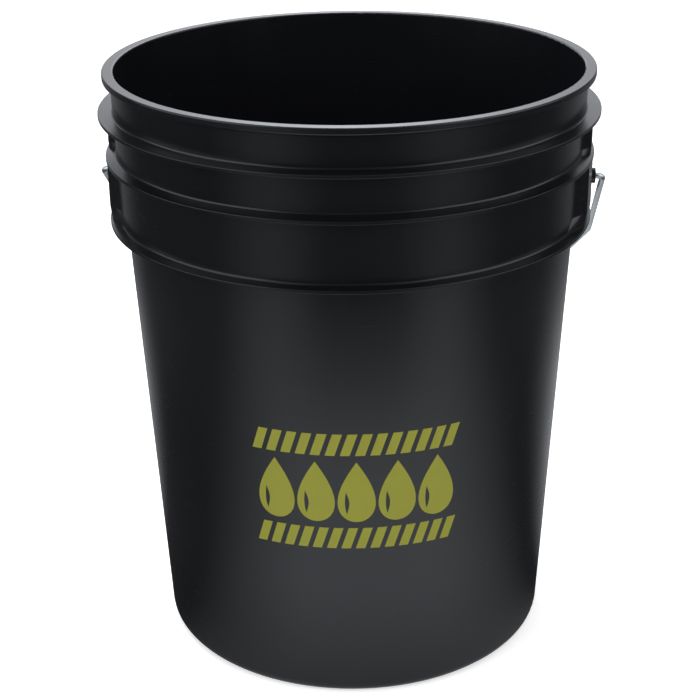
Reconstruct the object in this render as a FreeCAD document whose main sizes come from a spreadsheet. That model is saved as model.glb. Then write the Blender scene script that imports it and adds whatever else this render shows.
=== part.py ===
import FreeCAD, Part
import math
import os
import Sketcher

# Wash bucket: a tapered moulded pail with three outside rings, a wire bail that
# swings in two hollow ears, and a tube grip that turns on the wire.
# Frame: origin on the ground at the pail's centre, +Z up, ears on +X and -X,
# decorated side towards -Y, bail hanging down behind the pail, on the +Y side.

# name, size in millimetres (or degrees), what it is
SIZES = [
    ("pail_height", 368.3, "ground to rim top"),
    ("base_radius", 123.7, "outside radius of the tapered body, taken at the ground"),
    ("body_draft", 3.0, "taper of the body, degrees"),
    ("collar_step", 3.6, "how far the wall steps outwards at the lower ring"),
    ("collar_draft", 0.9, "taper of the wall above the lower ring, degrees"),
    ("wall", 2.3, "thickness of wall, rings and ears"),
    ("floor_thickness", 2.6, "thickness of the floor"),
    ("floor_lift", 3.2, "height of the floor panel above the foot ring"),
    ("foot_inset", 17.7, "base radius to the edge of the lifted floor panel"),
    ("heel_radius", 7.4, "outside rounding between foot and body"),
    ("gate_radius", 4.0, "radius of the gate mark under the floor"),
    ("gate_height", 1.0, "height of the gate mark"),
    ("lower_ring_drop", 92.5, "rim top to underside of lower ring"),
    ("middle_ring_drop", 52.9, "rim top to underside of middle ring"),
    ("upper_ring_drop", 26.4, "rim top to underside of upper ring"),
    ("lower_ring_reach", 6.45, "how far the lower ring stands off the wall"),
    ("middle_ring_reach", 6.23, "how far the middle ring stands off the wall"),
    ("upper_ring_reach", 8.9, "how far the upper ring stands off the wall"),
    ("ring_edge", 2.0, "thickness of each ring at its edge"),
    ("lower_ring_rise", 1.0, "rise of the lower ring's top towards the wall"),
    ("middle_ring_rise", 2.2, "rise of the middle ring's top towards the wall"),
    ("upper_ring_rise", 0.5, "rise of the upper ring's top towards the wall"),
    ("ring_root", 1.2, "fillet between ring and wall"),
    ("edge_round", 0.4, "rounding of ring edges"),
    ("rim_reach", 4.66, "how far the rim bead stands off the wall"),
    ("rim_face", 3.9, "height of the rim bead's outside face"),
    ("rim_slope", 1.9, "height of the slope below the rim bead"),
    ("rim_round", 0.9, "rounding of the rim bead"),
    ("nest_step", 1.2, "how far the inside step starts above the lower ring's underside"),
    ("ear_reach", 6.2, "how far the lower ear's panel stands off the wall at the lower ring"),
    ("ear_corner", 33.0, "half width of the lower ear at its panel"),
    ("ear_crease_rise", 10.2, "lower ring's underside to where the lower ear starts to spread"),
    ("ear_foot_reach", 5.0, "how far the lower ear's foot stands off the wall"),
    ("ear_foot_spread", 17.5, "how much wider each side of the lower ear's foot is at the wall"),
    ("ear_foot_corner", 2.0, "how much wider each side of the lower ear's foot is at its front"),
    ("brow_reach", 4.7, "how far the upper ear's panel stands off the wall at the middle ring"),
    ("brow_corner", 20.0, "half width of the upper ear at its panel"),
    ("brow_crease_rise", 7.3, "middle ring's underside to where the upper ear starts to spread"),
    ("brow_foot_reach", 4.2, "how far the upper ear's foot stands off the wall"),
    ("brow_foot_spread", 6.0, "how much wider each side of the upper ear's foot is at the wall"),
    ("brow_foot_corner", 1.0, "how much wider each side of the upper ear's foot is at its front"),
    ("ear_flare", 12.5, "how much wider each side of the lower ear is at the wall"),
    ("brow_flare", 8.0, "how much wider each side of the upper ear is at the wall"),
    ("ear_bite", 0.8, "how deep an ear runs into the wall that carries it"),
    ("ear_slot", 2.7, "width of the slot that opens the ear downwards"),
    ("hollow_lap", 4.6, "how far the upper ear's hollow reaches below the middle ring"),
    ("pivot_rise", 23.3, "lower ring's underside to the bail's axis"),
    ("boss_radius", 4.7, "radius of the round boss at the bail hole"),
    ("boss_height", 2.3, "how far the boss stands off the ear's panel"),
    ("cut_run", 1.0, "how far a cut runs past the faces that it opens"),
    ("wire_radius", 1.9, "radius of the bail wire"),
    ("wire_play", 0.2, "gap around the wire in its hole"),
    ("leg_gap", 1.2, "gap between the top of the bail's leg and the edge of the upper ring"),
    ("elbow_radius", 4.3, "bend of the wire outside the boss, at its centre line"),
    ("leg_lean", 2.0, "how far the leg leans inwards from its elbow to its kink"),
    ("bail_drop", 190.0, "bail axis to the middle of the bail"),
    ("kink_radius", 20.0, "kink between the leg and the slope, at the wire's centre line"),
    ("shoulder_inset", 10.2, "how far inside the top of the leg the slope ends"),
    ("shoulder_rise", 69.0, "how far above the middle the slope ends"),
    ("middle_margin", 4.0, "bare straight wire at each end of the grip"),
    ("head_radius", 3.6, "radius of the upset head inside the ear"),
    ("head_thickness", 1.5, "thickness of the upset head"),
    ("head_gap", 0.7, "gap between the head and the panel"),
    ("grip_radius", 12.8, "outside radius of the grip"),
    ("grip_length", 98.0, "length of the grip"),
    ("grip_play", 0.5, "gap around the wire in the grip"),
    ("grip_bead", 0.7, "how far the end beads stand out"),
    ("bead_width", 5.0, "width of the end beads"),
    ("bead_round", 0.6, "rounding of the end beads"),
    ("flute_count", 18, "number of shallow flutes along the grip"),
    ("flute_depth", 0.8, "depth of a flute"),
    ("flute_radius", 2.2, "radius of a flute"),
    ("flute_margin", 5.0, "bare strip between a flute and the bead beside it"),
    ("grip_rest_gap", 0.6, "gap between grip and body where the bail rests"),
]

# Two measures closer than this are the same edge, in millimetres.
MATCH = 0.02

doc = FreeCAD.newDocument("wash_bucket")
sheet = doc.addObject("Spreadsheet::Sheet", "Sizes")


def fill_sheet():
    """Write every size into the sheet, with its name as alias and a note beside it."""
    for row, (alias, size, note) in enumerate(SIZES, start=1):
        sheet.set(f"A{row}", str(size))
        sheet.setAlias(f"A{row}", alias)
        sheet.set(f"B{row}", note)
    doc.recompute()


def size_of(alias):
    """The number that the sheet holds under this alias."""
    return float(sheet.get(alias))


def value_of(formula):
    """The number that a formula on the sheet gives."""
    return float(sheet.evalExpression(formula))


def body_radius(height):
    """Formula for the outside radius of the tapered body at a height."""
    return f"(Sizes.base_radius + ({height}) * tan(Sizes.body_draft))"


# Heights that several pieces share: the rings hang below the rim, the ears stand on the rings.
LOWER_RING = "(Sizes.pail_height - Sizes.lower_ring_drop)"
MIDDLE_RING = "(Sizes.pail_height - Sizes.middle_ring_drop)"
UPPER_RING = "(Sizes.pail_height - Sizes.upper_ring_drop)"
PIVOT = f"({LOWER_RING} + Sizes.pivot_rise)"


def collar_radius(height):
    """Formula for the outside radius of the wall above the lower ring."""
    foot = f"{body_radius(LOWER_RING)} + Sizes.collar_step"
    return f"({foot} + (({height}) - {LOWER_RING}) * tan(Sizes.collar_draft))"


# Distances from the pail's axis that several pieces share.
RIM_EDGE = f"({collar_radius('Sizes.pail_height')} + Sizes.rim_reach)"
UPPER_RING_EDGE = f"({collar_radius(UPPER_RING)} + Sizes.upper_ring_reach)"
EAR_PANEL = f"({collar_radius(LOWER_RING)} + Sizes.ear_reach)"
BROW_PANEL = f"({collar_radius(MIDDLE_RING)} + Sizes.brow_reach)"
BOSS_FACE = f"({EAR_PANEL} + Sizes.boss_height)"
HEAD_FACE = f"({EAR_PANEL} - Sizes.wall - Sizes.head_gap)"
LEG_LINE = (f"max({UPPER_RING_EDGE} + Sizes.leg_gap + Sizes.wire_radius; "
            f"{BOSS_FACE} + Sizes.elbow_radius)")
MIDDLE_HALF = "(Sizes.grip_length / 2 + Sizes.middle_margin)"
LEG_END_LINE = f"({LEG_LINE} - Sizes.leg_lean)"
SLOPE_END_LINE = f"({LEG_LINE} - Sizes.shoulder_inset)"


def origin_plane(body, role):
    """The body's own origin plane with this role, such as XY_Plane."""
    for feature in body.Origin.OriginFeatures:
        if feature.Role == role:
            return feature
    raise ValueError(role)


def add_sketch(body, name, role, offset=None):
    """A sketch on one of the body's origin planes, lifted off it by a sheet formula."""
    sketch = body.newObject("Sketcher::SketchObject", name)
    sketch.AttachmentSupport = (origin_plane(body, role), [""])
    sketch.MapMode = "FlatFace"
    if offset:
        sketch.setExpression("AttachmentOffset.Base.z", offset)
    doc.recompute()
    return sketch


def pin_distance(sketch, kind, geometry, vertex, formula):
    """Hold a sketch point at one distance from the sketch's origin, given by a sheet formula."""
    value = float(sketch.evalExpression(formula))
    index = sketch.addConstraint(Sketcher.Constraint(kind, -1, 1, geometry, vertex, value))
    sketch.setExpression(f"Constraints[{index}]", formula)


def pin_point(sketch, geometry, vertex, across, up):
    """Hold a sketch point at two sheet formulas, measured from the sketch's origin."""
    for kind, formula, axis in (("DistanceX", across, -2), ("DistanceY", up, -1)):
        if formula == "0":
            sketch.addConstraint(Sketcher.Constraint("PointOnObject", geometry, vertex, axis))
        else:
            pin_distance(sketch, kind, geometry, vertex, formula)


def vector_at(sketch, corner):
    """The present place of a corner given by two formulas."""
    across, up = corner
    return FreeCAD.Vector(float(sketch.evalExpression(across)), float(sketch.evalExpression(up)), 0)


def draw_outline(sketch, corners):
    """A closed outline of straight lines through the corners."""
    places = [vector_at(sketch, corner) for corner in corners]
    count = len(corners)
    for index in range(count):
        sketch.addGeometry(Part.LineSegment(places[index], places[(index + 1) % count]), False)
    for index in range(count):
        following = (index + 1) % count
        sketch.addConstraint(Sketcher.Constraint("Coincident", index, 2, following, 1))
    for index, corner in enumerate(corners):
        pin_point(sketch, index, 1, *corner)
    doc.recompute()


def draw_circle(sketch, across, up, radius):
    """A circle whose centre and radius follow the sheet."""
    centre = vector_at(sketch, (across, up))
    value = float(sketch.evalExpression(radius))
    index = sketch.addGeometry(Part.Circle(centre, FreeCAD.Vector(0, 0, 1), value), False)
    pin_point(sketch, index, 3, across, up)
    limit = sketch.addConstraint(Sketcher.Constraint("Radius", index, value))
    sketch.setExpression(f"Constraints[{limit}]", radius)
    doc.recompute()
    return index


def draw_sector(sketch, inner, outer, root_half, corner_half):
    """A ring sector about +X: two arcs about the pail's axis, joined by two straight sides."""
    origin = FreeCAD.Vector(0, 0, 0)
    normal = FreeCAD.Vector(0, 0, 1)
    arcs = []
    for radius, half in ((inner, root_half), (outer, corner_half)):
        size = float(sketch.evalExpression(radius))
        turn = math.asin(float(sketch.evalExpression(half)) / size)
        circle = Part.Circle(origin, normal, size)
        index = sketch.addGeometry(Part.ArcOfCircle(circle, -turn, turn), False)
        sketch.addConstraint(Sketcher.Constraint("Coincident", index, 3, -1, 1))
        limit = sketch.addConstraint(Sketcher.Constraint("Radius", index, size))
        sketch.setExpression(f"Constraints[{limit}]", radius)
        for vertex, sign in ((1, "-"), (2, "")):
            value = float(sketch.evalExpression(f"{sign}({half})"))
            limit = sketch.addConstraint(Sketcher.Constraint("DistanceY", -1, 1, index, vertex, value))
            sketch.setExpression(f"Constraints[{limit}]", f"{sign}({half})")
        arcs.append(index)
    for vertex in (1, 2):
        start = sketch.getPoint(arcs[0], vertex)
        end = sketch.getPoint(arcs[1], vertex)
        side = sketch.addGeometry(Part.LineSegment(start, end), False)
        sketch.addConstraint(Sketcher.Constraint("Coincident", side, 1, arcs[0], vertex))
        sketch.addConstraint(Sketcher.Constraint("Coincident", side, 2, arcs[1], vertex))
    doc.recompute()


def turn_profile(body, kind, name, sketch, axis, angle=None, midplane=False):
    """A Revolution or Groove of a sketch about one of the sketch's axes."""
    feature = body.newObject(f"PartDesign::{kind}", name)
    feature.Profile = sketch
    feature.ReferenceAxis = (sketch, [axis])
    feature.Angle = 360
    if angle:
        feature.setExpression("Angle", angle)
    feature.Midplane = midplane
    doc.recompute()
    return feature


def circle_edges(feature, radius, height):
    """Names of the full circles of this radius and height about the pail's axis."""
    names = []
    for index, edge in enumerate(feature.Shape.Edges, start=1):
        curve = edge.Curve
        if not isinstance(curve, Part.Circle):
            continue
        if abs(curve.Radius - radius) < MATCH and abs(curve.Center.z - height) < MATCH:
            names.append(f"Edge{index}")
    return names


def round_circles(body, name, feature, corners, radius):
    """Round the circles at these (radius, height) formulas."""
    names = []
    for across, up in corners:
        found = circle_edges(feature, value_of(across), value_of(up))
        if not found:
            raise ValueError(f"{name}: no edge at {across}, {up}")
        names += found
    fillet = body.newObject("PartDesign::Fillet", name)
    fillet.Base = (feature, names)
    fillet.setExpression("Radius", radius)
    doc.recompute()
    return fillet


RINGS = (("lower", LOWER_RING), ("middle", MIDDLE_RING), ("upper", UPPER_RING))


def pail_outline():
    """Half section of the pail as (radius, height) formulas, counter-clockwise from the foot."""
    rim_under = "Sizes.pail_height - Sizes.rim_face"
    rim_root = f"{rim_under} - Sizes.rim_slope"
    panel_edge = "Sizes.base_radius - Sizes.foot_inset"
    inner_foot = f"{panel_edge} + Sizes.floor_lift"
    step = f"{LOWER_RING} + Sizes.nest_step"
    step_top = f"{step} + Sizes.collar_step"
    floor_low = "Sizes.floor_thickness"
    floor_high = "Sizes.floor_thickness + Sizes.floor_lift"
    gate_low = "Sizes.floor_lift - Sizes.gate_height"
    # The floor keeps its thickness across the sloping step between foot ring and lifted panel.
    corner_shift = "(sqrt(2) - 1) * Sizes.floor_thickness"
    outline = [
        ("0", gate_low),
        ("Sizes.gate_radius", gate_low),
        ("Sizes.gate_radius", "Sizes.floor_lift"),
        (panel_edge, "Sizes.floor_lift"),
        (inner_foot, "0"),
        ("Sizes.base_radius", "0"),
        (body_radius(LOWER_RING), LOWER_RING),
    ]
    for name, under in RINGS:
        if under != LOWER_RING:
            outline.append((collar_radius(under), under))
        edge = f"{collar_radius(under)} + Sizes.{name}_ring_reach"
        top = f"{under} + Sizes.ring_edge"
        rise = f"{top} + Sizes.{name}_ring_rise"
        outline.append((edge, under))
        outline.append((edge, top))
        outline.append((collar_radius(rise), rise))
    outline += [
        (collar_radius(rim_root), rim_root),
        (RIM_EDGE, rim_under),
        (RIM_EDGE, "Sizes.pail_height"),
        (f"{collar_radius('Sizes.pail_height')} - Sizes.wall", "Sizes.pail_height"),
        (f"{collar_radius(step_top)} - Sizes.wall", step_top),
        (f"{body_radius(step)} - Sizes.wall", step),
        (f"{body_radius(floor_low)} - Sizes.wall", floor_low),
        (f"{inner_foot} + {corner_shift}", floor_low),
        (f"{panel_edge} + {corner_shift}", floor_high),
        ("0", floor_high),
    ]
    return outline


def build_shell(body):
    """The turned part of the pail: wall, floor, foot, rings and rim, with its roundings."""
    section = add_sketch(body, "PailSection", "XZ_Plane")
    draw_outline(section, pail_outline())
    shell = turn_profile(body, "Revolution", "PailShell", section, "V_Axis")

    heel = round_circles(body, "Heel", shell, [("Sizes.base_radius", "0")], "Sizes.heel_radius")
    floor_low = "Sizes.floor_thickness"
    inner_heel = [(f"{body_radius(floor_low)} - Sizes.wall", floor_low)]
    heel = round_circles(body, "InnerHeel", heel, inner_heel, "Sizes.heel_radius - Sizes.wall")

    roots = [(body_radius(LOWER_RING), LOWER_RING)]
    edges = []
    for name, under in RINGS:
        edge = f"{collar_radius(under)} + Sizes.{name}_ring_reach"
        top = f"{under} + Sizes.ring_edge"
        rise = f"{top} + Sizes.{name}_ring_rise"
        if under != LOWER_RING:
            roots.append((collar_radius(under), under))
        roots.append((collar_radius(rise), rise))
        edges.append((edge, under))
        edges.append((edge, top))
    rooted = round_circles(body, "RingRoots", heel, roots, "Sizes.ring_root")
    edged = round_circles(body, "RingEdges", rooted, edges, "Sizes.edge_round")

    rim = [
        (RIM_EDGE, "Sizes.pail_height - Sizes.rim_face"),
        (RIM_EDGE, "Sizes.pail_height"),
        (f"{collar_radius('Sizes.pail_height')} - Sizes.wall", "Sizes.pail_height"),
    ]
    return round_circles(body, "RimRound", edged, rim, "Sizes.rim_round")


EAR_CREASE = f"({LOWER_RING} + Sizes.ear_crease_rise)"
BROW_CREASE = f"({MIDDLE_RING} + Sizes.brow_crease_rise)"


def build_ear_block(body, name, base, top, root, panel, root_half, corner_half):
    """The straight part of an ear, padded between two heights."""
    sketch = add_sketch(body, f"{name}Sketch", "XY_Plane", base)
    draw_sector(sketch, root, panel, root_half, corner_half)
    block = body.newObject("PartDesign::Pad", f"{name}Block")
    block.Profile = sketch
    block.setExpression("Length", f"({top}) - ({base})")
    doc.recompute()
    return block, sketch


def build_ear_skirt(body, name, sketch, foot, root, panel, root_half, corner_half):
    """The spreading lower part of an ear, lofted from its foot up to the straight part."""
    foot_sketch = add_sketch(body, f"{name}FootSketch", "XY_Plane", foot)
    draw_sector(foot_sketch, root, panel, root_half, corner_half)
    skirt = body.newObject("PartDesign::AdditiveLoft", f"{name}Skirt")
    skirt.Profile = foot_sketch
    skirt.Sections = [(sketch, [""])]
    skirt.Ruled = True
    doc.recompute()
    return skirt


def hollow_out(body, name, outline, half_angle):
    """Cut the hollow of an ear: an outline turned about the pail's axis, centred on +X."""
    sketch = add_sketch(body, f"{name}Sketch", "XZ_Plane")
    draw_outline(sketch, outline)
    before = body.Shape.Volume
    cut = turn_profile(body, "Groove", name, sketch, "V_Axis", half_angle, True)
    if cut.Shape.Volume >= before:
        raise ValueError(f"{name} cuts nothing")
    return cut


def build_ear_blocks(body):
    """Both steps of the ear on +X as solid blocks, with the boss; returns their features."""
    root = f"({collar_radius(LOWER_RING)} - Sizes.ear_bite)"
    low_foot = f"{LOWER_RING} + Sizes.ring_edge / 2"
    high_foot = f"{MIDDLE_RING} + Sizes.ring_edge / 2"
    high_top = f"{UPPER_RING} + Sizes.ring_edge / 2"

    low, low_sketch = build_ear_block(
        body, "Ear", EAR_CREASE, high_foot,
        root, EAR_PANEL, "Sizes.ear_corner + Sizes.ear_flare", "Sizes.ear_corner")
    low_skirt = build_ear_skirt(
        body, "Ear", low_sketch, low_foot, root,
        f"{collar_radius(LOWER_RING)} + Sizes.ear_foot_reach",
        "Sizes.ear_corner + Sizes.ear_flare + Sizes.ear_foot_spread",
        "Sizes.ear_corner + Sizes.ear_foot_corner")
    high, high_sketch = build_ear_block(
        body, "Brow", BROW_CREASE, high_top,
        root, BROW_PANEL, "Sizes.brow_corner + Sizes.brow_flare", "Sizes.brow_corner")
    high_skirt = build_ear_skirt(
        body, "Brow", high_sketch, high_foot, root,
        f"{collar_radius(MIDDLE_RING)} + Sizes.brow_foot_reach",
        "Sizes.brow_corner + Sizes.brow_flare + Sizes.brow_foot_spread",
        "Sizes.brow_corner + Sizes.brow_foot_corner")

    boss_sketch = add_sketch(body, "BossSketch", "YZ_Plane", f"{EAR_PANEL} - Sizes.wall")
    draw_circle(boss_sketch, "0", PIVOT, "Sizes.boss_radius")
    boss = body.newObject("PartDesign::Pad", "Boss")
    boss.Profile = boss_sketch
    boss.setExpression("Length", "Sizes.boss_height + Sizes.wall")
    doc.recompute()
    return [low, low_skirt, high, high_skirt, boss]


def hollow_angle(corner, panel):
    """Formula for the turn that a hollow takes: the ear's width less a wall at each side."""
    return f"2 * asin({corner} / {panel}) - 2 * asin(Sizes.wall / {panel})"


def build_ear_hollows(body):
    """The hollows behind both panels, open downwards through a slot in the lower ring."""
    under = f"{LOWER_RING} - Sizes.cut_run"
    foot = f"{LOWER_RING} + Sizes.ring_edge / 2"
    slot_out = f"{collar_radius(foot)} + Sizes.ear_slot"
    top = f"{MIDDLE_RING} + Sizes.ring_edge / 2"
    panel_back = f"{EAR_PANEL} - Sizes.wall"
    low_cut = hollow_out(body, "EarHollow", [
        (collar_radius(under), under),
        (slot_out, under),
        (slot_out, foot),
        (panel_back, EAR_CREASE),
        (panel_back, f"{MIDDLE_RING} - Sizes.wall"),
        (collar_radius(top), top),
    ], hollow_angle("Sizes.ear_corner", EAR_PANEL))

    bottom = f"{MIDDLE_RING} - Sizes.hollow_lap"
    ceiling = f"{UPPER_RING} - Sizes.wall"
    high_cut = hollow_out(body, "BrowHollow", [
        (collar_radius(bottom), bottom),
        (f"{collar_radius(bottom)} + Sizes.ear_slot", bottom),
        (f"{BROW_PANEL} - Sizes.wall", BROW_CREASE),
        (f"{BROW_PANEL} - Sizes.wall", ceiling),
        (collar_radius(ceiling), ceiling),
    ], hollow_angle("Sizes.brow_corner", BROW_PANEL))
    return [low_cut, high_cut]


def build_bail_hole(body):
    """The hole for the bail, through panel and boss."""
    sketch = add_sketch(body, "HoleSketch", "YZ_Plane", f"{EAR_PANEL} - Sizes.wall - Sizes.cut_run")
    draw_circle(sketch, "0", PIVOT, "Sizes.wire_radius + Sizes.wire_play")
    hole = body.newObject("PartDesign::Pocket", "BailHole")
    hole.Profile = sketch
    hole.setExpression("Length", "Sizes.wall + Sizes.boss_height + 2 * Sizes.cut_run")
    hole.Reversed = True
    before = body.Shape.Volume
    doc.recompute()
    if hole.Shape.Volume >= before:
        raise ValueError("the bail hole cuts nothing")
    return hole


def build_ears(body):
    """The ear on +X, mirrored to -X."""
    features = build_ear_blocks(body) + build_ear_hollows(body)
    features.append(build_bail_hole(body))
    mirrored = body.newObject("PartDesign::Mirrored", "OtherEar")
    mirrored.Originals = features
    mirrored.MirrorPlane = (origin_plane(body, "YZ_Plane"), [""])
    doc.recompute()
    body.Tip = mirrored
    doc.recompute()


def build_pail():
    body = doc.addObject("PartDesign::Body", "Pail")
    body.Label = "pail"
    build_shell(body)
    build_ears(body)
    return body


# How far the grip's axis stays from the body's outside, measured level.
GRIP_REACH = "(Sizes.grip_radius + Sizes.grip_rest_gap) / cos(Sizes.body_draft)"
# The rest angle is found by repeated trial from this first guess, in degrees.
FIRST_GUESS = 45.0
TRIALS = 50


def bail_rest_angle():
    """Solve, in degrees from straight down, for the angle where the grip just clears the body."""
    reach = value_of(GRIP_REACH)
    pivot = value_of(PIVOT)
    angle = math.radians(FIRST_GUESS)
    for _ in range(TRIALS):
        height = pivot - size_of("bail_drop") * math.cos(angle)
        radius = value_of(body_radius(str(height)))
        angle = math.asin((radius + reach) / size_of("bail_drop"))
    return math.degrees(angle)


def hang(body, drop):
    """Place a piece drawn about the X axis so that this axis is so far down the resting bail."""
    turn = FreeCAD.Rotation(FreeCAD.Vector(1, 0, 0), bail_rest_angle())
    place = FreeCAD.Vector(0, 0, value_of(PIVOT)) + turn.multVec(FreeCAD.Vector(0, 0, -drop))
    body.Placement = FreeCAD.Placement(place, turn)


def draw_arc(sketch, centre, radius, start, end):
    """An arc between two angles, in radians."""
    circle = Part.Circle(FreeCAD.Vector(*centre, 0), FreeCAD.Vector(0, 0, 1), radius)
    return sketch.addGeometry(Part.ArcOfCircle(circle, start, end), False)


def draw_line(sketch, start, end):
    return sketch.addGeometry(Part.LineSegment(FreeCAD.Vector(*start, 0), FreeCAD.Vector(*end, 0)), False)


def draw_bail_path(sketch):
    """Half the wire's centre line: middle, shoulder, slope, kink, leg, elbow and end."""
    head_middle = f"{HEAD_FACE} - Sizes.head_thickness / 2"
    half, drop, leg = value_of(MIDDLE_HALF), size_of("bail_drop"), value_of(LEG_LINE)
    elbow, kink = size_of("elbow_radius"), size_of("kink_radius")
    leg_end = value_of(LEG_END_LINE)
    slope_end, rise = value_of(SLOPE_END_LINE), size_of("shoulder_rise")
    # The shoulder is the one arc that leaves the middle level and ends where the slope ends.
    shoulder = ((slope_end - half) ** 2 + rise**2) / (2 * rise)
    turn = math.asin(rise / shoulder - 1)
    slope = (leg_end - kink * (1 - math.cos(turn)) - slope_end) / math.sin(-turn)
    slope_start = (slope_end - slope * math.sin(turn), rise - drop + slope * math.cos(turn))
    kink_height = slope_start[1] - kink * math.sin(turn)

    middle = draw_line(sketch, (0, -drop), (half, -drop))
    bend = draw_arc(sketch, (half, shoulder - drop), shoulder, -math.pi / 2, turn)
    straight = draw_line(sketch, (slope_end, rise - drop), slope_start)
    corner = draw_arc(sketch, (leg_end - kink, kink_height), kink, turn, 0)
    upright = draw_line(sketch, (leg_end, kink_height), (leg, -elbow))
    turn_in = draw_arc(sketch, (leg - elbow, -elbow), elbow, 0, math.pi / 2)
    end = draw_line(sketch, (leg - elbow, 0), (value_of(head_middle), 0))

    pin_point(sketch, middle, 1, "0", "-Sizes.bail_drop")
    pin_point(sketch, middle, 2, MIDDLE_HALF, "-Sizes.bail_drop")
    pin_point(sketch, straight, 1, SLOPE_END_LINE, "Sizes.shoulder_rise - Sizes.bail_drop")
    pin_distance(sketch, "DistanceX", upright, 1, LEG_END_LINE)
    pin_distance(sketch, "DistanceX", upright, 2, LEG_LINE)
    chain = (middle, bend, straight, corner, upright, turn_in, end)
    for before, after in zip(chain, chain[1:]):
        sketch.addConstraint(Sketcher.Constraint("Tangent", before, 2, after, 1))
    pin_point(sketch, end, 2, head_middle, "0")
    sketch.addConstraint(Sketcher.Constraint("Horizontal", end))
    for arc, formula in ((corner, "Sizes.kink_radius"), (turn_in, "Sizes.elbow_radius")):
        index = sketch.addConstraint(Sketcher.Constraint("Radius", arc, value_of(formula)))
        sketch.setExpression(f"Constraints[{index}]", formula)
    doc.recompute()


def build_bail():
    """The wire, swept as one half and mirrored, with an upset head on each end."""
    body = doc.addObject("PartDesign::Body", "Bail")
    body.Label = "bail"
    path = add_sketch(body, "WirePath", "XZ_Plane")
    draw_bail_path(path)
    section = add_sketch(body, "WireSection", "YZ_Plane")
    draw_circle(section, "0", "-Sizes.bail_drop", "Sizes.wire_radius")
    wire = body.newObject("PartDesign::AdditivePipe", "Wire")
    wire.Profile = section
    wire.Spine = (path, [])
    doc.recompute()

    head_start = f"{HEAD_FACE} - Sizes.head_thickness"
    outline = add_sketch(body, "HeadSection", "XZ_Plane")
    draw_outline(outline, [
        (head_start, "0"),
        (HEAD_FACE, "0"),
        (HEAD_FACE, "Sizes.head_radius"),
        (head_start, "Sizes.head_radius"),
    ])
    head = turn_profile(body, "Revolution", "Head", outline, "H_Axis")

    mirrored = body.newObject("PartDesign::Mirrored", "OtherHalf")
    mirrored.Originals = [wire, head]
    mirrored.MirrorPlane = (origin_plane(body, "YZ_Plane"), [""])
    doc.recompute()
    body.Tip = mirrored
    hang(body, 0)
    doc.recompute()
    return body


def build_grip():
    """The tube grip: beads at both ends and shallow flutes between them."""
    body = doc.addObject("PartDesign::Body", "Grip")
    body.Label = "grip"
    half = "Sizes.grip_length / 2"
    bore = "(Sizes.wire_radius + Sizes.grip_play)"
    bead = "(Sizes.grip_radius + Sizes.grip_bead)"
    shoulder = f"{half} - Sizes.bead_width"
    section = add_sketch(body, "GripSection", "XZ_Plane")
    draw_outline(section, [
        (f"-({half})", bore),
        (half, bore),
        (half, bead),
        (shoulder, bead),
        (shoulder, "Sizes.grip_radius"),
        (f"-({shoulder})", "Sizes.grip_radius"),
        (f"-({shoulder})", bead),
        (f"-({half})", bead),
    ])
    tube = turn_profile(body, "Revolution", "GripTube", section, "H_Axis")
    rims = body.newObject("PartDesign::Fillet", "BeadRound")
    rims.Base = (tube, bead_edges(tube))
    rims.setExpression("Radius", "Sizes.bead_round")
    doc.recompute()

    flute_sketch = add_sketch(body, "FluteSketch", "YZ_Plane")
    draw_circle(flute_sketch, "0", "Sizes.grip_radius + Sizes.flute_radius - Sizes.flute_depth",
                "Sizes.flute_radius")
    flute = body.newObject("PartDesign::Pocket", "Flute")
    flute.Profile = flute_sketch
    flute.Midplane = True
    flute.setExpression("Length", "Sizes.grip_length - 2 * (Sizes.bead_width + Sizes.flute_margin)")
    doc.recompute()
    if flute.Shape.Volume >= rims.Shape.Volume:
        raise ValueError("the flute cuts nothing")
    flutes = body.newObject("PartDesign::PolarPattern", "Flutes")
    flutes.Originals = [flute]
    flutes.Axis = (flute_sketch, ["N_Axis"])
    flutes.Angle = 360
    flutes.setExpression("Occurrences", "Sizes.flute_count")
    doc.recompute()
    body.Tip = flutes
    hang(body, size_of("bail_drop"))
    doc.recompute()
    return body


def bead_edges(tube):
    """Names of the four circles that bound the grip's two end beads on the outside."""
    radius = size_of("grip_radius") + size_of("grip_bead")
    names = []
    for index, edge in enumerate(tube.Shape.Edges, start=1):
        if isinstance(edge.Curve, Part.Circle) and abs(edge.Curve.Radius - radius) < MATCH:
            names.append(f"Edge{index}")
    return names


def check_document():
    """Stop if any object failed, or a piece has no sound single solid."""
    for item in doc.Objects:
        if "Invalid" in item.State or "Error" in item.State:
            raise ValueError(f"{item.Name} failed: {item.State}")


def check_piece(body):
    shape = body.Shape
    if shape.isNull() or not shape.isValid():
        raise ValueError(f"{body.Label} is not a valid shape")
    if len(shape.Solids) != 1:
        raise ValueError(f"{body.Label} has {len(shape.Solids)} solids")


def main():
    fill_sheet()
    pieces = [build_pail(), build_bail(), build_grip()]
    doc.recompute()
    check_document()
    os.makedirs("parts", exist_ok=True)
    for body in pieces:
        check_piece(body)
        body.Shape.exportStep(f"parts/{body.Label}.step")
        box = body.Shape.optimalBoundingBox(False, False)
        print(f"{body.Label}: {body.Shape.Volume / 1000:.1f} cm3, "
              f"x {box.XMin:.1f} to {box.XMax:.1f}, y {box.YMin:.1f} to {box.YMax:.1f}, "
              f"z {box.ZMin:.1f} to {box.ZMax:.1f}")
    middle = pieces[2].Placement.Base
    print(f"bail rests {bail_rest_angle():.3f} degrees from straight down, "
          f"grip axis at y {middle.y:.3f}, z {middle.z:.3f}")


main()
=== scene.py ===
import math

import bmesh
import bpy
from bpy.props import FloatProperty, FloatVectorProperty, IntProperty, PointerProperty
from mathutils import Euler, Matrix, Vector
from mathutils.bvhtree import BVHTree


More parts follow.
